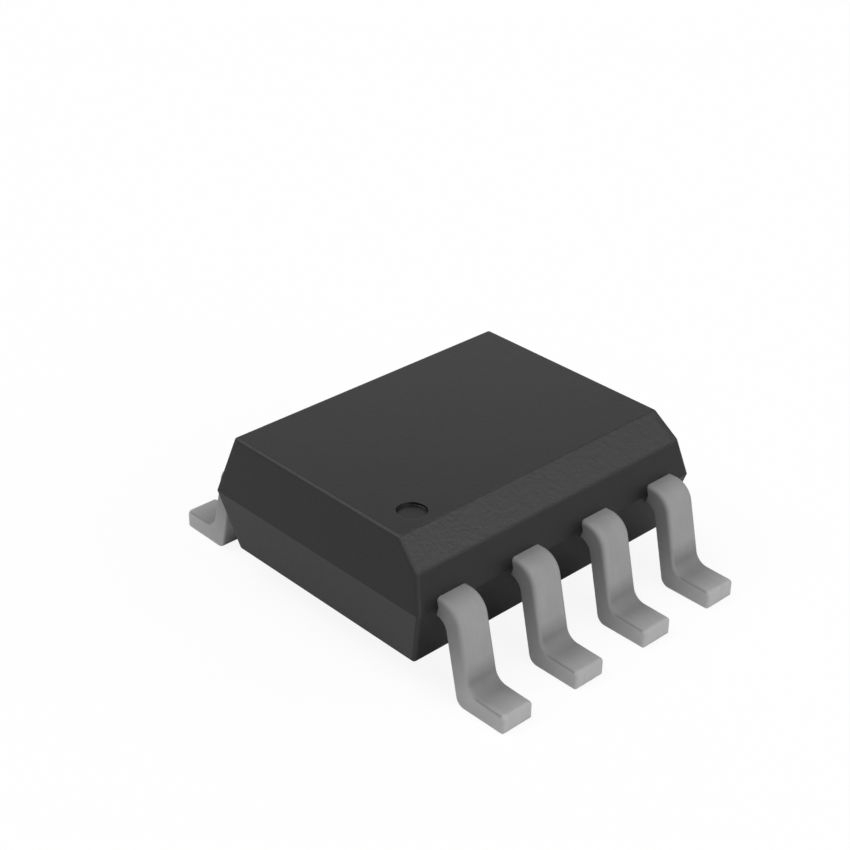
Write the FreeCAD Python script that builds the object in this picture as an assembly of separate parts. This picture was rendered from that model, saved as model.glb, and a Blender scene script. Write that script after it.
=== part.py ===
import FreeCAD, Part
import os
from math import atan2, cos, degrees, pi, radians, sin, tan

from FreeCAD import Vector

# A small-outline chip with gull-wing leads, in millimetres.
#
# X runs along the moulded body, Y along the leads and Z up. The origin is the middle
# of the footprint, on the plane that the feet stand on. Lead 1 is at -X on the -Y
# side, beside the dimple and under the long bevel, and the numbers go round
# anticlockwise as seen from above.

# Leads, stamped from copper strip, bent and tin plated
LEADS_PER_SIDE = 4
PITCH = 1.27
LEAD_WIDTH = 0.505
LEAD_THICKNESS = 0.26
LEAD_REACH = 1.138  # from the body's side to a foot's tip
FOOT_LENGTH = 0.784  # underside, from the tip to where the back of the leg would meet it
LEG_LEAN = 13.0  # degrees from upright, outwards on the way down
SHOULDER_OUTER_RADIUS = 0.31
SHOULDER_INNER_RADIUS = 0.19
HEEL_OUTER_RADIUS = 0.13
HEEL_INNER_RADIUS = 0.21
LEAD_EDGE_BEVEL = 0.03  # broken edges, as wide as the plated ones look
BEVELLED_INSIDE = 0.08  # how far the broken edges run on inside the moulding

# Moulded body, two drafted halves that meet at the parting line
END_MARGIN = 0.3235  # from a corner lead's outer side to the body's end
BODY_WIDTH = 3.904  # at the parting line
UPPER_THICKNESS = 0.834  # of the half above the parting line
LOWER_THICKNESS = 0.874
STANDOFF = 0.374  # from the feet's plane to the body's underside
END_DRAFT = 10.7  # degrees
SIDE_DRAFT = 15.8  # degrees
BEVEL_DROP = 0.327  # the long bevel over leads 1 to 4
BEVEL_RUN = 0.38
BODY_EDGE_RADIUS = 0.05
DIMPLE_DIAMETER = 0.39
DIMPLE_DEPTH = 0.065
DIMPLE_FROM_END = 0.51  # its centre, from the top face's end
DIMPLE_FROM_BEVEL = 0.321  # its centre, from the top face's edge along the bevel

# Lead fingers inside the moulding
FINGER_GAP = 0.20  # from a middle finger's tip to the paddle
HEAD_WIDTH = 0.80  # a middle finger's T head, which locks it in the moulding
HEAD_DEPTH = 0.28
ANCHOR_DIAMETER = 0.20  # the hole in a corner finger, which fills with compound
ANCHOR_INSET = 0.40  # its centre, from the body's side
CORNER_GAP = 0.25  # from a corner finger's tip to the tie bar

# Die paddle, held by a tie bar at each end
PADDLE_WIDTH = 1.90
PADDLE_END_GAP = 0.3125  # from the paddle's end to a corner finger
DOWNSET = 0.20  # of the paddle below the lead fingers
TIE_BAR_WIDTH = 0.30
TIE_BAR_FLAT = 0.12  # level stretch beside the paddle, before the bend
TIE_BAR_COVER = 0.08  # compound over the tie bar's end

# Silicon die and the epoxy that holds it
DIE_LENGTH = 1.70
DIE_WIDTH = 1.20
DIE_THICKNESS = 0.28
ATTACH_THICKNESS = 0.03
ATTACH_SPREAD = 0.07  # how far the epoxy's foot stands out past the die

# Gold bond wires, each with a ball on the die and a stitch on its finger
WIRE_DIAMETER = 0.03
WIRE_SIDES = 8  # a wire this thin is drawn with eight flats
BALL_DIAMETER = 0.08
BALL_HEIGHT = 0.022
LOOP_HEIGHT = 0.18  # above the die
LOOP_RADIUS = 0.07
LANDING_RADIUS = 0.15
LANDING_TAIL = 0.08
STITCH_LENGTH = 0.08
STITCH_WIDTH = 0.07
STITCH_THICKNESS = 0.022
STITCH_EDGE = 0.008
PAD_INSET = 0.09  # a bond pad's centre, from the die's edge
LANDING_INSET = 0.16  # a stitch, from the finger's tip

# Sizes that follow from those above
body_length = (LEADS_PER_SIDE - 1) * PITCH + LEAD_WIDTH + 2 * END_MARGIN
half_length = body_length / 2
half_width = BODY_WIDTH / 2
lead_plane = STANDOFF + LOWER_THICKNESS  # mid-thickness of the leads, level with the parting line
finger_top = lead_plane + LEAD_THICKNESS / 2
corner_lead_x = (LEADS_PER_SIDE - 1) * PITCH / 2
paddle_length = 2 * (corner_lead_x - LEAD_WIDTH / 2 - PADDLE_END_GAP)
paddle_top = finger_top - DOWNSET
die_bottom = paddle_top + ATTACH_THICKNESS
die_top = die_bottom + DIE_THICKNESS
middle_tip = PADDLE_WIDTH / 2 + FINGER_GAP
corner_tip = TIE_BAR_WIDTH / 2 + CORNER_GAP


def rounded_wire(points, radii, closed=True):
    """Straight runs from point to point, with a tangent arc of its radius in place of each corner."""
    count = len(points)
    corners = []
    for i, (point, radius) in enumerate(zip(points, radii)):
        if radius == 0:
            corners.append((point, None, point))
            continue
        back = (points[i - 1] - point).normalize()
        ahead = (points[(i + 1) % count] - point).normalize()
        half_angle = back.getAngle(ahead) / 2
        reach = radius / tan(half_angle)
        inwards = (back + ahead).normalize()
        middle = point + inwards * (radius / sin(half_angle) - radius)
        corners.append((point + back * reach, middle, point + ahead * reach))
    edges = []
    for i, (start, middle, end) in enumerate(corners):
        if middle is not None:
            edges.append(Part.Arc(start, middle, end).toShape())
        if closed or i + 1 < count:
            edges.append(Part.LineSegment(end, corners[(i + 1) % count][0]).toShape())
    return Part.Wire(edges)


def plate(points, radii, direction):
    """A flat face with rounded corners, extruded along a direction."""
    return Part.Face(rounded_wire(points, radii)).extrude(direction)


def frustum(half_x, half_y, height, draft_x, draft_y):
    """A block on the XY plane that draws in by the two draft angles as it rises."""
    top_x = half_x - height * tan(radians(draft_x))
    top_y = half_y - height * tan(radians(draft_y))
    wedge = Part.makeWedge(-half_x, 0, -half_y, -top_y, -top_x, half_x, height, half_y, top_y, top_x)
    wedge.rotate(Vector(0, 0, 0), Vector(1, 0, 0), 90)
    return wedge


def lead_x(number):
    """Where a lead stands along the body: 1 to 4 from -X to +X, then 5 to 8 back again."""
    place = number - 1 if number <= LEADS_PER_SIDE else 2 * LEADS_PER_SIDE - number
    return place * PITCH - corner_lead_x


def lead_side(number):
    """-1 for the side of lead 1, and 1 for the far side."""
    return -1 if number <= LEADS_PER_SIDE else 1


def is_corner(number):
    """Whether a lead is the first or last of its side."""
    return number in (1, LEADS_PER_SIDE, LEADS_PER_SIDE + 1, 2 * LEADS_PER_SIDE)


def drafted_half(thickness):
    """One half of the moulding, from the parting plane up, before its edges are rounded."""
    return frustum(half_length, half_width, thickness, END_DRAFT, SIDE_DRAFT)


def rounded_edges_off_plane(solid):
    """Rounds every edge of a half of the moulding apart from those in the parting plane."""
    edges = [edge for edge in solid.Edges if edge.BoundBox.ZMax > BODY_EDGE_RADIUS / 10]
    return solid.makeFillet(BODY_EDGE_RADIUS, edges)


def moulding():
    """The body as it leaves the mould: two drafted halves, the long bevel and the dimple for lead 1."""
    bevel_foot_y = half_width - (UPPER_THICKNESS - BEVEL_DROP) * tan(radians(SIDE_DRAFT))
    bevel_top_y = bevel_foot_y - BEVEL_RUN
    above_bevel = plate(
        [
            Vector(-half_length, -bevel_foot_y, UPPER_THICKNESS - BEVEL_DROP),
            Vector(-half_length, -bevel_top_y, UPPER_THICKNESS),
            Vector(-half_length, -bevel_foot_y, UPPER_THICKNESS),
        ],
        [0, 0, 0],
        Vector(body_length, 0, 0),
    )
    upper = rounded_edges_off_plane(drafted_half(UPPER_THICKNESS).cut(above_bevel))
    lower = rounded_edges_off_plane(drafted_half(LOWER_THICKNESS))
    lower.rotate(Vector(0, 0, 0), Vector(1, 0, 0), 180)
    body = upper.fuse(lower).removeSplitter()

    top_end_x = half_length - UPPER_THICKNESS * tan(radians(END_DRAFT))
    dimple_x = -top_end_x + DIMPLE_FROM_END
    dimple_y = -bevel_top_y + DIMPLE_FROM_BEVEL
    dimple_floor = Vector(dimple_x, dimple_y, UPPER_THICKNESS - DIMPLE_DEPTH)
    body = body.cut(Part.makeCylinder(DIMPLE_DIAMETER / 2, 2 * DIMPLE_DEPTH, dimple_floor))
    body.translate(Vector(0, 0, lead_plane))
    return body


def gull_wing():
    """The bent strip of a lead on the +Y side, from just inside the moulding to the foot's tip, at X 0."""
    lean = radians(LEG_LEAN)
    low = lead_plane - LEAD_THICKNESS / 2
    tip_y = half_width + LEAD_REACH
    heel_y = tip_y - FOOT_LENGTH
    leg_depth = LEAD_THICKNESS / cos(lean)
    back_of_leg = heel_y - low * tan(lean)
    front_of_leg = heel_y - finger_top * tan(lean) + leg_depth
    half_turn = (pi / 2 - lean) / 2
    bend_y = back_of_leg - SHOULDER_INNER_RADIUS * tan(half_turn)
    start_y = min(half_width, bend_y) - BEVELLED_INSIDE
    outline = [
        (start_y, low, 0),
        (back_of_leg, low, SHOULDER_INNER_RADIUS),
        (heel_y, 0, HEEL_OUTER_RADIUS),
        (tip_y, 0, 0),
        (tip_y, LEAD_THICKNESS, 0),
        (heel_y - LEAD_THICKNESS * tan(lean) + leg_depth, LEAD_THICKNESS, HEEL_INNER_RADIUS),
        (front_of_leg, finger_top, SHOULDER_OUTER_RADIUS),
        (start_y, finger_top, 0),
    ]
    points = [Vector(-LEAD_WIDTH / 2, y, z) for y, z, radius in outline]
    strip = plate(points, [radius for y, z, radius in outline], Vector(LEAD_WIDTH, 0, 0))
    small = LEAD_EDGE_BEVEL / 10
    broken = []
    for edge in strip.Edges:
        box = edge.BoundBox
        along_a_side = box.XLength < small and box.YMax > start_y + small
        across_the_tip = box.YMin > tip_y - small and box.ZLength < small
        if along_a_side or across_the_tip:
            broken.append(edge)
    return strip.makeChamfer(LEAD_EDGE_BEVEL, broken), start_y


def finger(corner, start_y):
    """The flat finger inside the moulding that a wire lands on, at X 0 on the +Y side."""
    half_lead = LEAD_WIDTH / 2
    low = lead_plane - LEAD_THICKNESS / 2
    if corner:
        outline = [
            (-half_lead, start_y),
            (-half_lead, corner_tip),
            (half_lead, corner_tip),
            (half_lead, start_y),
        ]
    else:
        head_y = middle_tip + HEAD_DEPTH
        half_head = HEAD_WIDTH / 2
        outline = [
            (-half_lead, start_y),
            (-half_lead, head_y),
            (-half_head, head_y),
            (-half_head, middle_tip),
            (half_head, middle_tip),
            (half_head, head_y),
            (half_lead, head_y),
            (half_lead, start_y),
        ]
    points = [Vector(x, y, low) for x, y in outline]
    flat = plate(points, [0] * len(points), Vector(0, 0, LEAD_THICKNESS))
    if corner:
        anchor_y = half_width - ANCHOR_INSET
        flat = flat.cut(Part.makeCylinder(ANCHOR_DIAMETER / 2, LEAD_THICKNESS, Vector(0, anchor_y, low)))
    return flat


def lead(number):
    """A whole lead in its place: the bent strip outside and its finger inside, stamped as one piece."""
    strip, start_y = gull_wing()
    shape = strip.fuse(finger(is_corner(number), start_y)).removeSplitter()
    if lead_side(number) < 0:
        shape.rotate(Vector(0, 0, 0), Vector(0, 0, 1), 180)
    shape.translate(Vector(lead_x(number), 0, 0))
    return shape


def tie_bar():
    """The bar at the paddle's +X end, which rises at 45 degrees and stops inside the moulding."""
    low = lead_plane - LEAD_THICKNESS / 2
    paddle_bottom = paddle_top - LEAD_THICKNESS
    bend_x = paddle_length / 2 + TIE_BAR_FLAT
    shift = LEAD_THICKNESS * tan(radians(45) / 2)
    end_x = half_length - TIE_BAR_COVER
    outline = [
        (0, paddle_bottom),
        (bend_x, paddle_bottom),
        (bend_x + DOWNSET, low),
        (end_x, low),
        (end_x, finger_top),
        (bend_x + DOWNSET - shift, finger_top),
        (bend_x - shift, paddle_top),
        (0, paddle_top),
    ]
    points = [Vector(x, -TIE_BAR_WIDTH / 2, z) for x, z in outline]
    return plate(points, [0] * len(outline), Vector(0, TIE_BAR_WIDTH, 0))


def die_paddle():
    """The plate under the die with its two tie bars, stamped and set down as one piece."""
    pad = Part.makeBox(
        paddle_length,
        PADDLE_WIDTH,
        LEAD_THICKNESS,
        Vector(-paddle_length / 2, -PADDLE_WIDTH / 2, paddle_top - LEAD_THICKNESS),
    )
    far_bar = tie_bar()
    far_bar.rotate(Vector(0, 0, 0), Vector(0, 0, 1), 180)
    return pad.fuse((tie_bar(), far_bar)).removeSplitter()


def die_attach():
    """The epoxy under the die, spread into a small sloping foot all round."""
    slope = degrees(atan2(ATTACH_SPREAD, ATTACH_THICKNESS))
    layer = frustum(
        DIE_LENGTH / 2 + ATTACH_SPREAD,
        DIE_WIDTH / 2 + ATTACH_SPREAD,
        ATTACH_THICKNESS,
        slope,
        slope,
    )
    layer.translate(Vector(0, 0, paddle_top))
    return layer


def silicon_die():
    """The sawn block of silicon."""
    return Part.makeBox(
        DIE_LENGTH, DIE_WIDTH, DIE_THICKNESS, Vector(-DIE_LENGTH / 2, -DIE_WIDTH / 2, die_bottom)
    )


def bond_pad(number):
    """Where a lead's wire starts on the die: by its end for a corner lead, along its side for the rest."""
    if is_corner(number):
        end = 1 if lead_x(number) > 0 else -1
        return Vector(end * (DIE_LENGTH / 2 - PAD_INSET), lead_side(number) * DIE_WIDTH / 4, die_top)
    along = lead_x(number) * DIE_LENGTH / paddle_length
    return Vector(along, lead_side(number) * (DIE_WIDTH / 2 - PAD_INSET), die_top)


def landing(number):
    """Where a lead's wire is stitched to its finger."""
    tip = corner_tip if is_corner(number) else middle_tip
    return Vector(lead_x(number), lead_side(number) * (tip + LANDING_INSET), finger_top)


def bond_wire(number):
    """One wire: a ball on the die, a neck, a bent loop, a long slope and a flattened stitch."""
    pad = bond_pad(number)
    span = landing(number) - pad
    span.z = 0
    length = span.Length
    along = span.normalize()
    across = Vector(0, 0, 1).cross(along)

    def at(distance, height):
        return Vector(pad.x, pad.y, height) + along * distance

    def ring(height, diameter):
        corner_radius = diameter / 2 / cos(pi / WIRE_SIDES)
        turns = [2 * pi * (k + 0.5) / WIRE_SIDES for k in range(WIRE_SIDES)]
        return [at(corner_radius * cos(a), height) + across * (corner_radius * sin(a)) for a in turns]

    ball_top = die_top + BALL_HEIGHT
    ball = plate(ring(die_top, BALL_DIAMETER), [0] * WIRE_SIDES, Vector(0, 0, BALL_HEIGHT))

    wire_height = finger_top + WIRE_DIAMETER / 2
    path = rounded_wire(
        [
            at(0, ball_top),
            at(0, die_top + LOOP_HEIGHT),
            at(length - LANDING_TAIL, wire_height),
            at(length, wire_height),
        ],
        [0, LOOP_RADIUS, LANDING_RADIUS, 0],
        closed=False,
    )
    run = path.makePipe(Part.Face(rounded_wire(ring(ball_top, WIRE_DIAMETER), [0] * WIRE_SIDES)))

    stitch_start = length - WIRE_DIAMETER
    stitch_end = length - WIRE_DIAMETER + STITCH_LENGTH
    stitch_outline = [
        at(stitch_start, finger_top),
        at(stitch_end, finger_top),
        at(stitch_end, finger_top + STITCH_EDGE),
        at(stitch_start, finger_top + STITCH_THICKNESS),
    ]
    one_side = [point - across * (STITCH_WIDTH / 2) for point in stitch_outline]
    stitch = plate(one_side, [0] * len(one_side), across * STITCH_WIDTH)
    return ball.fuse((run, stitch)).removeSplitter()


numbers = range(1, 2 * LEADS_PER_SIDE + 1)
inner = {f"lead_{n}": lead(n) for n in numbers}
inner["die_paddle"] = die_paddle()
inner["die_attach"] = die_attach()
inner["silicon_die"] = silicon_die()
inner.update({f"bond_wire_{n}": bond_wire(n) for n in numbers})

# The compound flows round everything inside, so the body is the moulding less those pieces.
nodes = {"mould_body": moulding().cut(tuple(inner.values())), **inner}

os.makedirs("parts", exist_ok=True)
for name, shape in nodes.items():
    shape.exportStep(f"parts/{name}.step")
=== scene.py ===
import bpy
import numpy as np
from mathutils import Matrix


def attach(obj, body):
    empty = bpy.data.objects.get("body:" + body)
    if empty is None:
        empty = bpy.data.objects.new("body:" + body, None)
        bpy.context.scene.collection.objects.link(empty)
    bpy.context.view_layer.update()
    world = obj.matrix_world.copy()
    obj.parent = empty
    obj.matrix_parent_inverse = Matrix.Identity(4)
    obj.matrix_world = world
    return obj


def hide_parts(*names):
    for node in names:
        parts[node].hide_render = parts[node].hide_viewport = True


# A small-outline chip that stands on its eight gull-wing feet. Sizes are in millimetres:
# X runs along the body from lead 1 to lead 4, Y runs along the leads, and Z is the height
# above the plane of the feet. The meshes are in metres.
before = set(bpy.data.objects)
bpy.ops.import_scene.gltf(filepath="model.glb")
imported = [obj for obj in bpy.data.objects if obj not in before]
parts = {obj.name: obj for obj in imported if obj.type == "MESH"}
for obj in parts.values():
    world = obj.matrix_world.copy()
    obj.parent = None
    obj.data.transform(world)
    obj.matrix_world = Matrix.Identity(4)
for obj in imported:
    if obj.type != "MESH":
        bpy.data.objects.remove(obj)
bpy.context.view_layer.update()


# Moulded body: black epoxy filled with ground silica, moulded in one shot round the lead
# frame. Two drafted halves meet at a sharp parting line level with the leads. The long bevel
# and the blind dimple show which end of which side lead 1 is at.
#
# A slope is how far a wall moves in for each millimetre up or down from the parting line. The
# bevel's foot and head are (distance out from the middle, height) before they are rounded.
body_half_length = 2.481
body_half_width = 1.952
body_bottom = 0.374
body_top = 2.082
parting_height = 1.248
end_slope = 0.1890
side_slope = 0.2830
bevel_foot = (1.8085, 1.755)
bevel_head = (1.4285, 2.082)
body_edge = 0.05
dimple_centre = np.array([-1.8134, -1.1075])
dimple_radius = 0.195
dimple_floor = 2.043
dimple_edge = 0.004
least_radius = 0.004

# Steps of the body's grid. A support is a narrow band beside an edge, which keeps the shading
# of the faces flat. The roll's angles say where the rows over the rounded edges lie.
support = 0.01
along_steps = 75
across_steps = 57
corner_steps = 8
brow_steps = 4
dimple_steps = 4
roll_angles = [90, 80, 70, 60, 52, 44, 35, 25, 15.8, 10.7]


def rounded_path(corners, radii, arc_steps):
    """Runs from corner to corner, with a tangent arc in place of each corner that has a radius.

    Arc point = arc centre + radius * (cos, sin) of a bearing that turns evenly from run to run.
    """
    corners = np.array(corners, float)
    stretches = []
    for i, radius in enumerate(radii):
        corner = corners[i]
        if radius == 0:
            stretches.append(corner[None])
            continue
        back = corners[i - 1] - corner
        back /= np.linalg.norm(back)
        ahead = corners[(i + 1) % len(corners)] - corner
        ahead /= np.linalg.norm(ahead)
        half_angle = np.arccos(back @ ahead) / 2
        centre = corner + (back + ahead) / np.linalg.norm(back + ahead) * radius / np.sin(half_angle)
        first = corner + back * radius / np.tan(half_angle) - centre
        turn = (np.pi - 2 * half_angle) * np.sign(back[1] * ahead[0] - back[0] * ahead[1])
        bearing = np.arctan2(first[1], first[0]) + turn * np.linspace(0, 1, arc_steps + 1)
        stretches.append(centre + radius * np.stack([np.cos(bearing), np.sin(bearing)], 1))
    return np.concatenate(stretches)


def rounded_rectangles(half_x, low_y, high_y, radii, x_fractions, y_fractions, corner_steps):
    """Rounded rectangles, anticlockwise and point for point alike, one for each entry of the sizes.

    Corner point = corner centre + radius * (cos, sin). A side's points lie at set fractions of its
    length. The first radius is for the two corners on the +X side, and the second is for the others.
    """
    sizes = (half_x, low_y, high_y, *radii)
    half_x, low_y, high_y, right, left = [np.asarray(size, float)[:, None] for size in sizes]
    quarter = np.linspace(0, np.pi / 2, corner_steps + 1)[None]
    corners = [
        (half_x - right, low_y + right, right),
        (half_x - right, high_y - right, right),
        (left - half_x, high_y - left, left),
        (left - half_x, low_y + left, left),
    ]
    arcs = []
    for turn, (x, y, radius) in enumerate(corners, -1):
        bearing = quarter + turn * np.pi / 2
        arcs.append(np.stack([x + radius * np.cos(bearing), y + radius * np.sin(bearing)], 2))
    stretches = []
    for turn, arc in enumerate(arcs):
        fractions = np.asarray(x_fractions if turn % 2 else y_fractions)[None, :, None]
        start = arc[:, -1:]
        end = arcs[(turn + 1) % 4][:, :1]
        stretches += [arc, start + (end - start) * fractions]
    return np.concatenate(stretches, 1)


def skin(name, shells, sharp=30):
    """A mesh of one or more closed shells, each a grid of points whose rows run round it.

    A face joins (row, place), (row, place + 1), (row + 1, place + 1) and (row + 1, place). A fan to
    a point closes the shell before its first row and after its last. Without such points those two
    rows are joined.
    """
    points = []
    faces = []
    for rows, first, last in shells:
        begin = sum(map(len, points))
        count, around = rows.shape[:2]
        index = begin + np.arange(count * around).reshape(count, around)
        points.append(rows.reshape(-1, 3))
        if first is None:
            index = np.concatenate([index, index[:1]])
        beside = np.roll(index, -1, 1)
        faces += np.stack([index[:-1], beside[:-1], beside[1:], index[1:]], 2).reshape(-1, 4).tolist()
        if first is not None:
            points.append(np.array([first, last], float))
            start = np.full(around, begin + count * around)
            faces += np.stack([start, beside[0], index[0]], 1).tolist()
            faces += np.stack([start + 1, index[-1], beside[-1]], 1).tolist()
    mesh = bpy.data.meshes.new(name)
    mesh.from_pydata((np.concatenate(points) / 1000).tolist(), [], faces)
    mesh.polygons.foreach_set("use_smooth", np.ones(len(faces), bool))
    mesh.set_sharp_from_angle(angle=np.radians(sharp))
    return mesh


def at_height(flat, heights):
    """Points of the XY plane, with a height for each row of them."""
    heights = np.broadcast_to(np.asarray(heights, float)[:, None, None], (*flat.shape[:2], 1))
    return np.concatenate([flat, heights], 2)


def put_in_place(mesh, material, node):
    """Makes a piece of a mesh. It rides on the part and stands for the solid of its name."""
    piece = bpy.data.objects.new(mesh.name, mesh)
    bpy.context.scene.collection.objects.link(piece)
    mesh.materials.append(material)
    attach(piece, "root")
    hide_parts(node)


def linear(colour):
    """A hex colour as the linear values that a shader takes."""
    levels = np.array([int(colour[i : i + 2], 16) for i in (1, 3, 5)]) / 255
    return [*np.where(levels <= 0.04045, levels / 12.92, ((levels + 0.055) / 1.055) ** 2.4), 1.0]


def add(material, kind, settings=None, inputs=None):
    """Adds a node with its settings; each input is a value, or the output that feeds it."""
    node = material.node_tree.nodes.new(kind)
    for key, value in (settings or {}).items():
        setattr(node, key, value)
    for key, value in (inputs or {}).items():
        if isinstance(value, bpy.types.NodeSocket):
            material.node_tree.links.new(value, node.inputs[key])
        else:
            node.inputs[key].default_value = value
    return node


def grains_per_metre(spacing):
    """The scale of a pattern whose grains are this many millimetres apart."""
    return 1000 / spacing


def finish(material, shader):
    """Makes a shader node the material's surface."""
    add(material, "ShaderNodeOutputMaterial", inputs={"Surface": shader.outputs[0]})


def overhang(heights, reach, slope, upper=()):
    """How far a wall stands out at each height, read off its rounded outline from underside to top."""
    foot = (reach - (parting_height - body_bottom) * slope, body_bottom)
    upper = upper or [(reach - (body_top - parting_height) * slope, body_top)]
    fine_steps = 60
    outline = rounded_path(
        [(0, body_bottom), foot, (reach, parting_height), *upper, (0, body_top)],
        [0, body_edge, 0, *[body_edge] * len(upper), 0],
        fine_steps,
    )[1:-1]
    return np.interp(heights, outline[:, 1], outline[:, 0])


roll = body_edge * (1 - np.sin(np.radians(roll_angles)))
brow = rounded_path(
    [(body_half_width, parting_height), bevel_foot, bevel_head], [0, body_edge, 0], brow_steps
)[1:-1, 1]
heights = np.concatenate(
    [
        body_bottom + roll,
        [body_bottom + roll[-1] + support, parting_height, brow[0] - support],
        brow,
        [brow[-1] + support, body_top - roll[-1] - support],
        body_top - roll[::-1],
    ]
)
from_edge = np.maximum(0, body_edge - np.minimum(heights - body_bottom, body_top - heights))
walls = np.stack(
    [
        overhang(heights, body_half_length, end_slope),
        -overhang(heights, body_half_width, side_slope, [bevel_foot, bevel_head]),
        overhang(heights, body_half_width, side_slope),
    ],
    1,
)
inwards = np.array([-support, support, -support])
walls = np.vstack([walls[0] / 2, walls[0] + inwards, walls, walls[-1] + inwards])
edge_radii = np.maximum(least_radius, np.sqrt(body_edge**2 - np.minimum(from_edge, body_edge) ** 2))
edge_radii = np.concatenate([edge_radii[[0, 0]], edge_radii, edge_radii[-1:]])
heights = np.concatenate([[body_bottom, body_bottom], heights, [body_top]])
along_body = np.linspace(0, 1, along_steps + 1)[1:-1]
across_body = np.linspace(0, 1, across_steps + 1)[1:-1]
rings = rounded_rectangles(
    *walls.T, (edge_radii, edge_radii), along_body, across_body, corner_steps
)
dimple = rounded_path(
    [
        (dimple_radius + dimple_edge + support, body_top),
        (dimple_radius, body_top),
        (dimple_radius, dimple_floor),
        (dimple_radius - dimple_edge - support, dimple_floor),
        (dimple_radius / 2, dimple_floor),
    ],
    [0, dimple_edge, dimple_edge, 0, 0],
    dimple_steps,
)
bearings = rings[-1] - dimple_centre
bearings /= np.linalg.norm(bearings, axis=1)[:, None]
dimple_rings = dimple_centre + dimple[:, 0, None, None] * bearings
body_rows = np.concatenate([at_height(rings, heights), at_height(dimple_rings, dimple[:, 1])])
body_shell = (body_rows, [0, 0, body_bottom], [*dimple_centre, dimple_floor])
body_mesh = skin("moulding", [body_shell], sharp=18)

# A painted edge highlight marks the rounded edges, drawn paler and duller: the rolls, the brow
# and head of the bevel, and the four upright corners. It is full over the third of a roll's
# height next to the face, and fades out over the rest. Pits are full on the bevel alone.
#
# A ring runs through its four corners and the sides between them, from the corner at +X and -Y.
# The bevelled side comes last, and starts holds the place at which each corner begins.
edge_sheen_gain = 1.5
sheen_head = 0.014
corner_places = corner_steps + 1
starts = np.cumsum([0, *[corner_places + len(side) for side in (across_body, along_body, across_body)]])
corners = np.isin(np.arange(rings.shape[1]), starts[:, None] + np.arange(1, corner_places - 1))
bevelled = np.arange(rings.shape[1]) >= starts[-1] + corner_places - 1
from_face = np.minimum(heights - body_bottom, body_top - heights)[:, None]
rolled = np.clip(edge_sheen_gain * (1 - from_face / body_edge), 0, 1)
headed = body_top - heights[:, None] < sheen_head
browed = (heights[:, None] >= brow[0]) & (heights[:, None] <= brow[-1])
on_bevel = bevelled & (heights[:, None] > bevel_foot[1])
edge_sheen_rows = np.maximum(np.where(on_bevel, headed, rolled), corners | (bevelled & browed))
edge_sheen_rows = edge_sheen_rows * (from_face > 0)
pit_rows = on_bevel & (from_face > 0)
for name, rows in (("edge_sheen", edge_sheen_rows), ("pits", pit_rows)):
    values = np.zeros(len(body_mesh.vertices))
    values[: rows.size] = rows.ravel()
    body_mesh.attributes.new(name, "FLOAT", "POINT").data.foreach_set("value", values)

# The compound is matt and not quite black, with the fine even grain of a spark-eroded mould
# and a faint mottle where the filler is denser. Its grain is coarser on the bevel. Its rounded
# edges carry a painted highlight, paler and duller, and the half below the parting line is
# painted a little paler, as painted light from below.
mottle_spacing = 0.40
grain_spacing = 0.045
pit_spacing = 0.09
compound = bpy.data.materials.new("moulding_compound")
compound.use_nodes = True
compound.node_tree.nodes.clear()
spot = add(compound, "ShaderNodeTexCoord").outputs["Object"]
mottle = add(
    compound,
    "ShaderNodeTexNoise",
    inputs={"Vector": spot, "Scale": grains_per_metre(mottle_spacing), "Detail": 3.0, "Roughness": 0.5},
)
grain = add(
    compound,
    "ShaderNodeTexNoise",
    inputs={"Vector": spot, "Scale": grains_per_metre(grain_spacing), "Detail": 3.0, "Roughness": 0.6},
)
tint = add(compound, "ShaderNodeValToRGB", inputs={"Fac": mottle.outputs["Fac"]})
tint.color_ramp.elements[0].position = 0.3
tint.color_ramp.elements[0].color = linear("#050505")
tint.color_ramp.elements[1].position = 0.7
tint.color_ramp.elements[1].color = linear("#080808")
axes = add(compound, "ShaderNodeSeparateXYZ", inputs={0: spot})
below = add(
    compound,
    "ShaderNodeMath",
    {"operation": "LESS_THAN"},
    {0: axes.outputs[2], 1: parting_height / 1000},
)
# Painted light from below: the half below the parting line is drawn paler.
painted_light_below = add(
    compound,
    "ShaderNodeMix",
    {"data_type": "RGBA"},
    {0: below.outputs[0], 6: tint.outputs["Color"], 7: linear("#181818")},
)
edge_sheen = add(compound, "ShaderNodeAttribute", {"attribute_name": "edge_sheen"})
# Painted highlight: the rounded edges are drawn paler.
painted_edge_sheen = add(
    compound,
    "ShaderNodeMix",
    {"data_type": "RGBA"},
    {0: edge_sheen.outputs["Fac"], 6: painted_light_below.outputs[2], 7: linear("#1e1e1e")},
)
gloss = add(
    compound, "ShaderNodeMapRange", inputs={"Value": grain.outputs["Fac"], "To Min": 0.34, "To Max": 0.46}
)
dullness = add(
    compound,
    "ShaderNodeMath",
    {"operation": "MULTIPLY_ADD"},
    {0: edge_sheen.outputs["Fac"], 1: 0.25, 2: gloss.outputs["Result"]},
)
coarse = add(
    compound,
    "ShaderNodeTexNoise",
    inputs={"Vector": spot, "Scale": grains_per_metre(pit_spacing), "Detail": 3.0, "Roughness": 0.6},
)
pits = add(compound, "ShaderNodeAttribute", {"attribute_name": "pits"})
coarse_there = add(
    compound,
    "ShaderNodeMath",
    {"operation": "MULTIPLY"},
    {0: coarse.outputs["Fac"], 1: pits.outputs["Fac"]},
)
surface = add(
    compound,
    "ShaderNodeMath",
    {"operation": "MULTIPLY_ADD"},
    {0: grain.outputs["Fac"], 1: 0.33, 2: coarse_there.outputs[0]},
)
relief = add(
    compound,
    "ShaderNodeBump",
    inputs={"Height": surface.outputs[0], "Strength": 0.5, "Distance": 0.000011},
)
finish(
    compound,
    add(
        compound,
        "ShaderNodeBsdfPrincipled",
        inputs={
            "Base Color": painted_edge_sheen.outputs[2],
            "Roughness": dullness.outputs[0],
            "Normal": relief.outputs["Normal"],
            "IOR": 1.65,
        },
    ),
)
put_in_place(body_mesh, compound, "mould_body")


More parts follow.
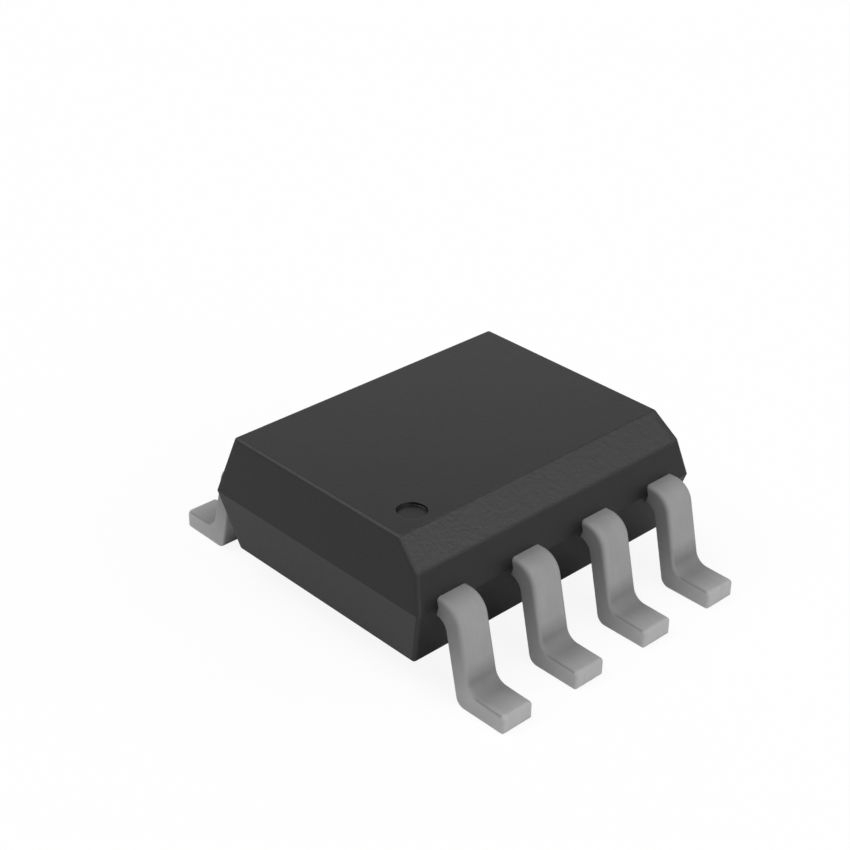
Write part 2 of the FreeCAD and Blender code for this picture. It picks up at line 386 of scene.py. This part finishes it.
# Leads: copper strip, stamped with its neighbours from one sheet and tin plated. After
# moulding, each is cut free and bent down and out in a forming die. Inside the body its
# finger ends in a T head, or has a hole that fills with compound, so it can't pull out.
#
# The leg's back and the heel are corners of the strip's underside, and the leg's front and the
# instep are corners of its top: (Y, height) before each is rounded by its bend's radius.
leads_per_side = 4
lead_pitch = 1.27
lead_width = 0.505
lead_thickness = 0.26
lead_edge = 0.042
rolled_edge = 0.06
burred_edge = 0.03
finger_top = 1.378
finger_bottom = 1.118
strip_start = 1.8168
foot_tip = 3.09
leg_back = (2.0479, finger_bottom)
heel = (2.306, 0)
leg_front = (2.2547, finger_top)
instep = (2.5128, lead_thickness)
under_bends = [0, 0.19, 0.13, 0]
over_bends = [0, 0.31, 0.21, 0]

# Steps of a lead's grid. The extra stations lie in the straight runs, near their ends, where
# they keep the shading flat. The fractions place the rows on its side walls and its faces.
bend_steps = 14
edge_steps = 6
least_edge = 0.006
extra_stations = [0.5, 0.92, 15.03, 15.3, 15.7, 15.97, 30.06, 30.5, 30.94]
side_fractions = [0.06, 0.5, 0.94]
face_fractions = [0.03, 0.27, 0.5, 0.73, 0.97]

# How light the plating is drawn, against its usual tone, at distances along the strip. It is
# painted darker in the bends, as painted shade where the body and leg hide the light, and paler
# towards the foot and its tip, as painted light from below.
shoulder_light_and_shade = [(0, 0.85), (0.22, 0.85), (0.45, 1.06), (1.1, 1.06)]
foot_light_and_shade = [(1.3, 0.68), (1.45, 0.71), (1.75, 0.95), (2.0, 1.15), (2.06, 1.45)]
face_light_and_shade = np.array(shoulder_light_and_shade + foot_light_and_shade)
side_light_and_shade = np.array([(0, 0.75), (0.5, 0.75), (0.9, 0.95), (1.2, 1.2), (1.5, 1.3), (2.06, 1.45)])

# A painted shade line darkens each upper edge of the foot, most of all on the edge itself. It
# comes and goes at these distances. Leads 5 to 8 are painted a touch paler all over, as painted
# light.
shade_line_depths = np.array([(1.42, 0), (1.48, 1), (1.99, 1), (2.01, 0)])
edge_line_shade = 0.45
beside_line_shade = 0.2
far_side_painted_light = 1.06


def bent_strip():
    """The part of a lead outside the body, and a little inside it, for a lead on the +Y side at X 0.

    A rounded rectangle is carried along the strip. At each station it spans from the strip's
    underside to its top, two paths with bends of their own. At the tip it draws in on a quarter
    circle. A tone for each point goes with it, of painted light and shade: that of the faces,
    blended into that of the sides on the edges, and darker on a painted shade line down each
    upper edge of the foot.
    """
    flat_end = foot_tip - lead_edge
    under = rounded_path(
        [(strip_start, finger_bottom), leg_back, heel, (flat_end, 0)], under_bends, bend_steps
    )
    over = rounded_path(
        [(strip_start, finger_top), leg_front, instep, (flat_end, lead_thickness)], over_bends, bend_steps
    )
    stations = np.arange(len(under))
    stops = np.sort(np.concatenate([stations, extra_stations]))
    under = np.stack([np.interp(stops, stations, under[:, axis]) for axis in (0, 1)], 1)
    over = np.stack([np.interp(stops, stations, over[:, axis]) for axis in (0, 1)], 1)
    middle = (under + over) / 2
    up = over - under
    thickness = np.linalg.norm(up, axis=1)
    up /= thickness[:, None]

    draw_in = np.radians([18, 36, 54, 72, 90, 90])
    tip_rows = len(draw_in)
    inset = lead_edge * (1 - np.cos(draw_in))
    inset[-1] += support
    tip = np.stack([flat_end + lead_edge * np.sin(draw_in), np.full(tip_rows, lead_thickness / 2)], 1)
    middle = np.vstack([middle, tip])
    up = np.vstack([up, np.tile([0, 1], (tip_rows, 1))])
    inset = np.concatenate([np.zeros(len(stops)), inset])
    half_thickness = np.concatenate([thickness, np.full(tip_rows, lead_thickness)]) / 2 - inset
    half_width = lead_width / 2 - inset
    radii = [np.maximum(radius - inset, least_edge) for radius in (rolled_edge, burred_edge)]
    section = rounded_rectangles(
        half_thickness, -half_width, half_width, radii, side_fractions, face_fractions, edge_steps
    )
    across = section[..., 1:]
    rows = np.concatenate([across, middle[:, None] + section[..., :1] * up[:, None]], 2)

    run = np.append(0, np.cumsum(np.linalg.norm(np.diff(middle, axis=0), axis=1)))[:, None]
    on_side = np.clip((np.abs(across[..., 0]) - half_width[:, None]) / rolled_edge + 1, 0, 1) ** 2
    face_shading = np.interp(run, *face_light_and_shade.T)
    side_shading = np.interp(run, *side_light_and_shade.T)
    # Painted light and shade along the strip, blended from the faces into the sides.
    tone = face_shading + (side_shading - face_shading) * on_side
    shade_line = np.interp(run, *shade_line_depths.T)
    half_turn = edge_steps // 2
    edges = np.array([half_turn, edge_steps + 1 + len(face_fractions) + half_turn])
    # Painted shade line down each upper edge of the foot.
    tone[:, edges] *= 1 - edge_line_shade * shade_line
    tone[:, np.concatenate([edges - 1, edges + 1])] *= 1 - beside_line_shade * shade_line
    return rows, [0, *middle[0]], [0, *middle[-1]], tone


def stamped_finger(outline, radii, centre, hole_radius=0):
    """The flat finger inside the body: a plate with a rounded upper edge, and with a hole or none.

    The outline's runs are cut into even steps, and it moves in along its own normals as its height
    nears the plate's faces. A hole's rings are a circle, met by each outline point on its own bearing
    from the hole's centre.
    """
    bends = rounded_path(outline, radii, corner_arc_steps)
    runs = np.roll(bends, -1, 0) - bends
    steps = np.ceil(np.linalg.norm(runs, axis=1) / longest_step).astype(int)
    begun = np.repeat(np.cumsum(steps) - steps, steps)
    part = (np.arange(steps.sum()) - begun) / np.repeat(steps, steps)
    flat = np.repeat(bends, steps, 0) + part[:, None] * np.repeat(runs, steps, 0)
    forward = np.roll(flat, -1, 0) - np.roll(flat, 1, 0)
    forward /= np.linalg.norm(forward, axis=1)[:, None]
    outwards = np.stack([forward[:, 1], -forward[:, 0]], 1)
    turn = np.radians([0, 30, 60, 90])
    lower_insets = [finger_edge, burr, 0, 0]
    lower_heights = [0, 0, burr, finger_edge + support]
    upper_insets = finger_edge * (1 - np.cos(turn))
    upper_heights = lead_thickness - finger_edge * (1 - np.sin(turn))
    insets = np.concatenate([lower_insets, upper_insets, [finger_edge + narrow_band]])
    heights = np.concatenate([lower_heights, upper_heights, [lead_thickness]])
    rows = at_height(flat - insets[:, None, None] * outwards, finger_bottom + heights)
    if not hole_radius:
        return rows, [*centre, finger_bottom], [*centre, finger_top]
    bearing = flat - centre
    bearing /= np.linalg.norm(bearing, axis=1)[:, None]
    circle = np.broadcast_to(centre + hole_radius * bearing, (2, *flat.shape))
    return np.concatenate([rows, at_height(circle, [finger_top, finger_bottom])]), None, None


# The plating is matt tin, a soft pale grey. Its crystals are too fine to see, so the grain is
# drawn as coarse as it needs to show, and the forming die leaves faint rubbed lines down it.
crystal_spacing = 0.03
cloud_spacing = 0.30
rub_spacing = 0.06
rub_stretch = 0.07
plating = bpy.data.materials.new("matt_tin_plating")
plating.use_nodes = True
plating.node_tree.nodes.clear()
spot = add(plating, "ShaderNodeTexCoord").outputs["Object"]
crystals = add(
    plating,
    "ShaderNodeTexNoise",
    inputs={"Vector": spot, "Scale": grains_per_metre(crystal_spacing), "Detail": 3.0, "Roughness": 0.6},
)
clouds = add(
    plating,
    "ShaderNodeTexNoise",
    inputs={"Vector": spot, "Scale": grains_per_metre(cloud_spacing), "Detail": 2.0, "Roughness": 0.5},
)
down_the_lead = add(
    plating,
    "ShaderNodeMapping",
    inputs={"Vector": spot, "Scale": (1.0, rub_stretch, rub_stretch)},
)
rubs = add(
    plating,
    "ShaderNodeTexNoise",
    inputs={
        "Vector": down_the_lead.outputs["Vector"],
        "Scale": grains_per_metre(rub_spacing),
        "Detail": 3.0,
        "Roughness": 0.6,
    },
)
shade = add(
    plating,
    "ShaderNodeMix",
    {"data_type": "FLOAT"},
    {0: 0.5, 2: clouds.outputs["Fac"], 3: rubs.outputs["Fac"]},
)
tint = add(plating, "ShaderNodeValToRGB", inputs={"Fac": shade.outputs[0]})
tint.color_ramp.elements[0].position = 0.3
tint.color_ramp.elements[0].color = linear("#8f8f8f")
tint.color_ramp.elements[1].position = 0.7
tint.color_ramp.elements[1].color = linear("#989898")
tone = add(plating, "ShaderNodeAttribute", {"attribute_name": "tone"})
# Painted light and shade: the plating's colour times the tone of each point.
painted_light_and_shade = add(
    plating,
    "ShaderNodeMix",
    {"data_type": "RGBA", "blend_type": "MULTIPLY"},
    {0: 1.0, 6: tint.outputs["Color"], 7: tone.outputs["Color"]},
)
dullness = add(
    plating,
    "ShaderNodeMapRange",
    inputs={"Value": crystals.outputs["Fac"], "To Min": 0.52, "To Max": 0.66},
)
relief = add(
    plating,
    "ShaderNodeBump",
    inputs={"Height": crystals.outputs["Fac"], "Strength": 0.25, "Distance": 0.000003},
)
finish(
    plating,
    add(
        plating,
        "ShaderNodeBsdfPrincipled",
        inputs={
            "Base Color": painted_light_and_shade.outputs[2],
            "Roughness": dullness.outputs["Result"],
            "Normal": relief.outputs["Normal"],
        },
    ),
)

# A finger's root lies a little way up the strip, so that the two overlap. Its tips, necks and
# centres are given by their Y, for a lead on the +Y side at X 0.
half_strip = lead_width / 2
finger_root = strip_start + 0.01
finger_corner = 0.035
finger_edge = 0.02
burr = 0.006
head_tip = 1.15
head_neck = 1.43
head_half_width = 0.40
head_centre = np.array([0, 1.30])
corner_finger_tip = 0.40
anchor_centre = np.array([0, 1.552])
anchor_radius = 0.10
corner_arc_steps = 5
longest_step = 0.045
narrow_band = 0.004
middle_finger = stamped_finger(
    [
        (-half_strip, finger_root),
        (-half_strip, head_neck),
        (-head_half_width, head_neck),
        (-head_half_width, head_tip),
        (head_half_width, head_tip),
        (head_half_width, head_neck),
        (half_strip, head_neck),
        (half_strip, finger_root),
    ],
    [finger_corner] * 8,
    head_centre,
)
corner_finger = stamped_finger(
    [
        (-half_strip, finger_root),
        (-half_strip, corner_finger_tip),
        (half_strip, corner_finger_tip),
        (half_strip, finger_root),
    ],
    [finger_corner] * 4,
    anchor_centre,
    anchor_radius,
)
*strip, strip_shading = bent_strip()
lead_places = {}
for number in range(1, 2 * leads_per_side + 1):
    side = -1 if number <= leads_per_side else 1
    place = number - 1 if side < 0 else 2 * leads_per_side - number
    lead_places[number] = (place - (leads_per_side - 1) / 2) * lead_pitch, side
    turned = np.array([side, side, 1])
    moved = np.array([lead_places[number][0], 0, 0])
    shells = []
    finger = corner_finger if place in (0, leads_per_side - 1) else middle_finger
    for rows, first, last in (strip, finger):
        ends = (None, None) if first is None else (first * turned + moved, last * turned + moved)
        shells.append((rows * turned + moved, *ends))
    lead_mesh = skin(f"gull_wing_lead_{number}", shells, sharp=40)

    # The strip's points come first, then its two end points. The one in the middle of the cut
    # tip gets the same painted light as the row round it, and the fingers keep the usual tone.
    tones = np.ones(len(lead_mesh.vertices))
    tones[: strip_shading.size] = strip_shading.ravel()
    tones[strip_shading.size + 1] = strip_shading[-1, 0]
    # Painted light: leads 5 to 8 are drawn a touch paler all over.
    if side > 0:
        tones *= far_side_painted_light
    lead_mesh.attributes.new("tone", "FLOAT", "POINT").data.foreach_set("value", tones)
    put_in_place(lead_mesh, plating, f"lead_{number}")


# Die paddle: the copper plate of the lead frame that carries the die, set down a little
# below the fingers by the bend in the tie bar at each end. It is stamped with the leads from
# rolled copper, which is satin, with fine marks down the strip and a slight tarnish.
mark_spacing = 0.03
mark_stretch = 0.06
tarnish_spacing = 0.60
copper = bpy.data.materials.new("rolled_copper")
copper.use_nodes = True
copper.node_tree.nodes.clear()
spot = add(copper, "ShaderNodeTexCoord").outputs["Object"]
stretched = add(
    copper, "ShaderNodeMapping", inputs={"Vector": spot, "Scale": (mark_stretch, 1.0, 1.0)}
)
rolling_marks = add(
    copper,
    "ShaderNodeTexNoise",
    inputs={
        "Vector": stretched.outputs["Vector"],
        "Scale": grains_per_metre(mark_spacing),
        "Detail": 4.0,
        "Roughness": 0.65,
    },
)
tarnish = add(
    copper,
    "ShaderNodeTexNoise",
    inputs={"Vector": spot, "Scale": grains_per_metre(tarnish_spacing), "Detail": 3.0, "Roughness": 0.5},
)
tint = add(copper, "ShaderNodeValToRGB", inputs={"Fac": tarnish.outputs["Fac"]})
tint.color_ramp.elements[0].position = 0.35
tint.color_ramp.elements[0].color = linear("#b87a5c")
tint.color_ramp.elements[1].position = 0.65
tint.color_ramp.elements[1].color = linear("#cf9474")
dullness = add(
    copper,
    "ShaderNodeMapRange",
    inputs={"Value": rolling_marks.outputs["Fac"], "To Min": 0.28, "To Max": 0.46},
)
relief = add(
    copper,
    "ShaderNodeBump",
    inputs={"Height": rolling_marks.outputs["Fac"], "Strength": 0.3, "Distance": 0.000002},
)
finish(
    copper,
    add(
        copper,
        "ShaderNodeBsdfPrincipled",
        inputs={
            "Base Color": tint.outputs["Color"],
            "Metallic": 1.0,
            "Roughness": dullness.outputs["Result"],
            "Normal": relief.outputs["Normal"],
        },
    ),
)
parts["die_paddle"].data.materials.clear()
parts["die_paddle"].data.materials.append(copper)


# Die attach: silver-filled epoxy, dispensed on the paddle as a paste. It cures dull grey,
# with fine flakes that catch the light.
flake_spacing = 0.012
silver_epoxy = bpy.data.materials.new("silver_filled_epoxy")
silver_epoxy.use_nodes = True
silver_epoxy.node_tree.nodes.clear()
spot = add(silver_epoxy, "ShaderNodeTexCoord").outputs["Object"]
flakes = add(
    silver_epoxy,
    "ShaderNodeTexVoronoi",
    inputs={"Vector": spot, "Scale": grains_per_metre(flake_spacing)},
)
tint = add(silver_epoxy, "ShaderNodeValToRGB", inputs={"Fac": flakes.outputs["Distance"]})
tint.color_ramp.elements[0].position = 0.1
tint.color_ramp.elements[0].color = linear("#c9c9c4")
tint.color_ramp.elements[1].position = 0.6
tint.color_ramp.elements[1].color = linear("#8f8f8b")
relief = add(
    silver_epoxy,
    "ShaderNodeBump",
    inputs={"Height": flakes.outputs["Distance"], "Strength": 0.5, "Distance": 0.000002},
)
finish(
    silver_epoxy,
    add(
        silver_epoxy,
        "ShaderNodeBsdfPrincipled",
        inputs={
            "Base Color": tint.outputs["Color"],
            "Metallic": 0.6,
            "Roughness": 0.55,
            "Normal": relief.outputs["Normal"],
        },
    ),
)
parts["die_attach"].data.materials.clear()
parts["die_attach"].data.materials.append(silver_epoxy)


# Silicon die: sawn from a polished wafer. Its top holds the circuit under a thin glassy
# coat, in blocks of faint violet and green, and eight bare aluminium pads for the wires.
die_top = 1.488
pad_half_width = 0.036
end_pad = (0.76, 0.30)
side_pad = (0.4028, 0.51)
block_spacing = 0.28
track_spacing = 0.05
silicon = bpy.data.materials.new("polished_silicon")
silicon.use_nodes = True
silicon.node_tree.nodes.clear()
spot = add(silicon, "ShaderNodeTexCoord").outputs["Object"]
blocks = add(
    silicon,
    "ShaderNodeTexVoronoi",
    {"distance": "CHEBYCHEV"},
    {"Vector": spot, "Scale": grains_per_metre(block_spacing), "Randomness": 0.85},
)
circuit = add(
    silicon,
    "ShaderNodeMix",
    {"data_type": "RGBA"},
    {0: 0.15, 6: linear("#3a4048"), 7: blocks.outputs["Color"]},
)
tracks = add(
    silicon,
    "ShaderNodeTexBrick",
    inputs={
        "Vector": spot,
        "Scale": grains_per_metre(track_spacing),
        "Color1": linear("#59606c"),
        "Color2": linear("#474d57"),
        "Mortar": linear("#8d8a80"),
        "Mortar Size": 0.06,
    },
)
wired = add(
    silicon,
    "ShaderNodeMix",
    {"data_type": "RGBA", "blend_type": "MULTIPLY"},
    {0: 0.75, 6: circuit.outputs[2], 7: tracks.outputs["Color"]},
)
folded = add(silicon, "ShaderNodeVectorMath", {"operation": "ABSOLUTE"}, {0: spot})
near_pad = None
for pad in (end_pad, side_pad):
    aside = add(
        silicon,
        "ShaderNodeVectorMath",
        {"operation": "SUBTRACT"},
        {0: folded.outputs[0], 1: (pad[0] / 1000, pad[1] / 1000, 0)},
    )
    apart = add(silicon, "ShaderNodeVectorMath", {"operation": "ABSOLUTE"}, {0: aside.outputs[0]})
    axes = add(silicon, "ShaderNodeSeparateXYZ", inputs={0: apart.outputs[0]})
    furthest = add(
        silicon,
        "ShaderNodeMath",
        {"operation": "MAXIMUM"},
        {0: axes.outputs[0], 1: axes.outputs[1]},
    )
    on_pad = add(
        silicon,
        "ShaderNodeMath",
        {"operation": "LESS_THAN"},
        {0: furthest.outputs[0], 1: pad_half_width / 1000},
    )
    if near_pad is not None:
        on_pad = add(
            silicon,
            "ShaderNodeMath",
            {"operation": "MAXIMUM"},
            {0: on_pad.outputs[0], 1: near_pad.outputs[0]},
        )
    near_pad = on_pad
face = add(silicon, "ShaderNodeNewGeometry").outputs["Normal"]
facing = add(silicon, "ShaderNodeSeparateXYZ", inputs={0: face})
on_top = add(silicon, "ShaderNodeMath", {"operation": "GREATER_THAN"}, {0: facing.outputs[2], 1: 0.5})
topside = add(
    silicon,
    "ShaderNodeMix",
    {"data_type": "RGBA"},
    {0: near_pad.outputs[0], 6: wired.outputs[2], 7: linear("#d6d6d8")},
)
colour = add(
    silicon,
    "ShaderNodeMix",
    {"data_type": "RGBA"},
    {0: on_top.outputs[0], 6: linear("#5a5c61"), 7: topside.outputs[2]},
)
finish(
    silicon,
    add(
        silicon,
        "ShaderNodeBsdfPrincipled",
        inputs={"Base Color": colour.outputs[2], "Metallic": 0.5, "Roughness": 0.22},
    ),
)
parts["silicon_die"].data.materials.clear()
parts["silicon_die"].data.materials.append(silicon)


# Bond wires: drawn gold, 0.03 mm thick, bright, with faint draw marks. A ball is pressed on
# the die's pad, the wire loops up and over to its finger, and its end is squashed there into
# a thin stitch.
wire_radius = 0.015
loop_top = die_top + 0.18
loop_bends = [0, 0.07, 0.15, 0]
landing_run = 0.08
loop_steps = 12
points_round = 16
corner_landing = 0.56
middle_landing = 1.31
draw_mark_spacing = 0.02

# The ball is a list of (height over the die, radius), and the stitch is one of (distance past
# the landing, half-width, half-thickness).
ball_lower = [(0, 0.030), (0.002, 0.036), (0.007, 0.0395)]
ball_upper = [(0.013, 0.0395), (0.019, 0.035), (0.023, 0.026)]
ball = np.array(ball_lower + ball_upper)
neck = np.array([(0.027, 0.019), (0.034, 0.0158), (0.045, 0.015)])
stitch_start = [(-0.04, 0.015, 0.015), (-0.02, 0.021, 0.012), (0, 0.030, 0.0085)]
stitch_end = [(0.02, 0.035, 0.006), (0.042, 0.033, 0.004), (0.05, 0.024, 0.003)]


def bond_wire(pad, landing):
    """An ellipse carried along the wire from the ball's underside to the stitch's end.

    Its two half-sizes follow the ball, the round wire and the flat stitch, and the path lies in the
    upright plane from pad to landing.
    """
    span = landing - pad
    length = np.linalg.norm(span)
    along = np.array([*span / length, 0])
    across = np.array([along[1], -along[0], 0])
    column = np.vstack([ball, neck])
    lying = finger_top + wire_radius
    bend = rounded_path(
        [(0, die_top), (0, loop_top), (length - landing_run, lying), (length, lying)],
        loop_bends,
        loop_steps,
    )[1:-1]
    flat = np.array(stitch_start + stitch_end)
    distance = np.concatenate([np.zeros(len(column)), bend[:, 0], length + flat[:, 0]])
    height = np.concatenate([die_top + column[:, 0], bend[:, 1], finger_top + flat[:, 2]])
    half_across = np.concatenate([column[:, 1], np.full(len(bend), wire_radius), flat[:, 1]])
    half_up = np.concatenate([column[:, 1], np.full(len(bend), wire_radius), flat[:, 2]])
    forward = np.stack([np.gradient(distance), np.gradient(height)], 1)
    forward[: len(column)] = (0, 1)
    forward[-len(flat) :] = (1, 0)
    forward /= np.linalg.norm(forward, axis=1)[:, None]
    up = np.array([0, 0, 1]) * forward[:, :1] - along * forward[:, 1:]
    centre = np.array([*pad, 0]) + along * distance[:, None] + np.array([0, 0, 1]) * height[:, None]
    turn = np.linspace(0, 2 * np.pi, points_round, endpoint=False)[None, :, None]
    rows = (
        centre[:, None]
        + up[:, None] * half_up[:, None, None] * np.cos(turn)
        + across * half_across[:, None, None] * np.sin(turn)
    )
    return rows, centre[0], centre[-1]


gold = bpy.data.materials.new("drawn_gold")
gold.use_nodes = True
gold.node_tree.nodes.clear()
spot = add(gold, "ShaderNodeTexCoord").outputs["Object"]
draw_marks = add(
    gold,
    "ShaderNodeTexNoise",
    inputs={
        "Vector": spot,
        "Scale": grains_per_metre(draw_mark_spacing),
        "Detail": 2.0,
        "Roughness": 0.5,
    },
)
tint = add(gold, "ShaderNodeValToRGB", inputs={"Fac": draw_marks.outputs["Fac"]})
tint.color_ramp.elements[0].color = linear("#e8b850")
tint.color_ramp.elements[1].color = linear("#f6d07a")
dullness = add(
    gold,
    "ShaderNodeMapRange",
    inputs={"Value": draw_marks.outputs["Fac"], "To Min": 0.16, "To Max": 0.30},
)
finish(
    gold,
    add(
        gold,
        "ShaderNodeBsdfPrincipled",
        inputs={
            "Base Color": tint.outputs["Color"],
            "Metallic": 1.0,
            "Roughness": dullness.outputs["Result"],
        },
    ),
)
for number, (x, side) in lead_places.items():
    on_corner = abs(x) > lead_pitch
    if on_corner:
        pad = np.array([np.sign(x) * end_pad[0], side * end_pad[1]])
        landing = np.array([x, side * corner_landing])
    else:
        pad = np.array([np.sign(x) * side_pad[0], side * side_pad[1]])
        landing = np.array([x, side * middle_landing])
    wire_mesh = skin(f"gold_wire_{number}", [bond_wire(pad, landing)], sharp=60)
    put_in_place(wire_mesh, gold, f"bond_wire_{number}")


# Table: a plain white sheet under the chip, which keeps the chip's soft shadow. Seen straight
# it is nearly as white as the room. The glossy rays see the same paper as a mid grey, so that
# the black sides stay as dark as they look.
table_half_width = 0.4
glow_share = 0.9
sheet = bpy.data.materials.new("white_sheet")
sheet.use_nodes = True
sheet.node_tree.nodes.clear()
ray = add(sheet, "ShaderNodeLightPath")
straight = add(
    sheet,
    "ShaderNodeMath",
    {"operation": "MAXIMUM"},
    {0: ray.outputs["Is Camera Ray"], 1: ray.outputs["Is Transmission Ray"]},
)
share = add(
    sheet,
    "ShaderNodeMath",
    {"operation": "MULTIPLY"},
    {0: straight.outputs[0], 1: glow_share},
)
tone = add(
    sheet,
    "ShaderNodeMix",
    {"data_type": "RGBA"},
    {0: ray.outputs["Is Glossy Ray"], 6: linear("#f8f8f8"), 7: linear("#bebebe")},
)
paper = add(sheet, "ShaderNodeBsdfDiffuse", inputs={"Color": tone.outputs[2]})
glow = add(sheet, "ShaderNodeEmission", inputs={"Color": (1, 1, 1, 1), "Strength": 1.0})
seen = add(
    sheet,
    "ShaderNodeMixShader",
    inputs={0: share.outputs[0], 1: paper.outputs[0], 2: glow.outputs[0]},
)
finish(sheet, seen)
table_mesh = bpy.data.meshes.new("table")
table_corners = np.array([(-1, -1, 0), (1, -1, 0), (1, 1, 0), (-1, 1, 0)]) * table_half_width
table_mesh.from_pydata(table_corners.tolist(), [], [(0, 1, 2, 3)])
table_mesh.materials.append(sheet)
table = bpy.data.objects.new("table", table_mesh)
bpy.context.scene.collection.objects.link(table)


# Light: a dim pale room, white to the camera, and four large soft lamps far off. Each lamp
# has a bearing from +X and a height, in degrees, and a strength. Its softness is the angle that
# it fills, in radians.
room_strength = 0.06
lamp_softness = 0.9
room = bpy.data.worlds.new("studio")
room.use_nodes = True
room.node_tree.nodes.clear()
bpy.context.scene.world = room
ray = add(room, "ShaderNodeLightPath")
straight = add(
    room,
    "ShaderNodeMath",
    {"operation": "MAXIMUM"},
    {0: ray.outputs["Is Camera Ray"], 1: ray.outputs["Is Transmission Ray"]},
)
dim = add(room, "ShaderNodeBackground", inputs={"Color": (1, 1, 1, 1), "Strength": room_strength})
white = add(room, "ShaderNodeBackground", inputs={"Color": (1, 1, 1, 1), "Strength": 1.0})
mixed = add(
    room,
    "ShaderNodeMixShader",
    inputs={0: straight.outputs[0], 1: dim.outputs[0], 2: white.outputs[0]},
)
add(room, "ShaderNodeOutputWorld", inputs={"Surface": mixed.outputs[0]})

lamps = {
    "rear_left": (135, 60, 0.65),
    "front": (270, 35, 0.415),
    "right": (315, 35, 0.195),
    "low_rear": (45, 12, 0.115),
}
for name, (bearing, height, strength) in lamps.items():
    light = bpy.data.lights.new(name, "SUN")
    light.angle = lamp_softness
    light.energy = strength * np.pi
    lamp = bpy.data.objects.new(name, light)
    bpy.context.scene.collection.objects.link(lamp)
    lamp.rotation_euler = np.radians([90 - height, 0, bearing + 90])


# Camera: stands 25 mm off at lead 1's corner and looks down on the chip at 30 degrees. Right,
# up and back are its own axes, and it stands at the last point, in metres.
right = (0.7285, -0.68491, 0.01363)
up = (0.33006, 0.36836, 0.86912)
back = (-0.60029, -0.62865, 0.49441)
stand = (-0.014508, -0.014605, 0.013811)
lens = bpy.data.cameras.new("camera")
lens.lens = 76.808
lens.sensor_width = 36
lens.clip_start = 0.001
lens.clip_end = 2
camera = bpy.data.objects.new("camera", lens)
bpy.context.scene.collection.objects.link(camera)
camera.matrix_world = Matrix([*zip(right, up, back, stand), (0, 0, 0, 1)])
bpy.context.scene.camera = camera
bpy.context.scene.view_settings.view_transform = "Standard"
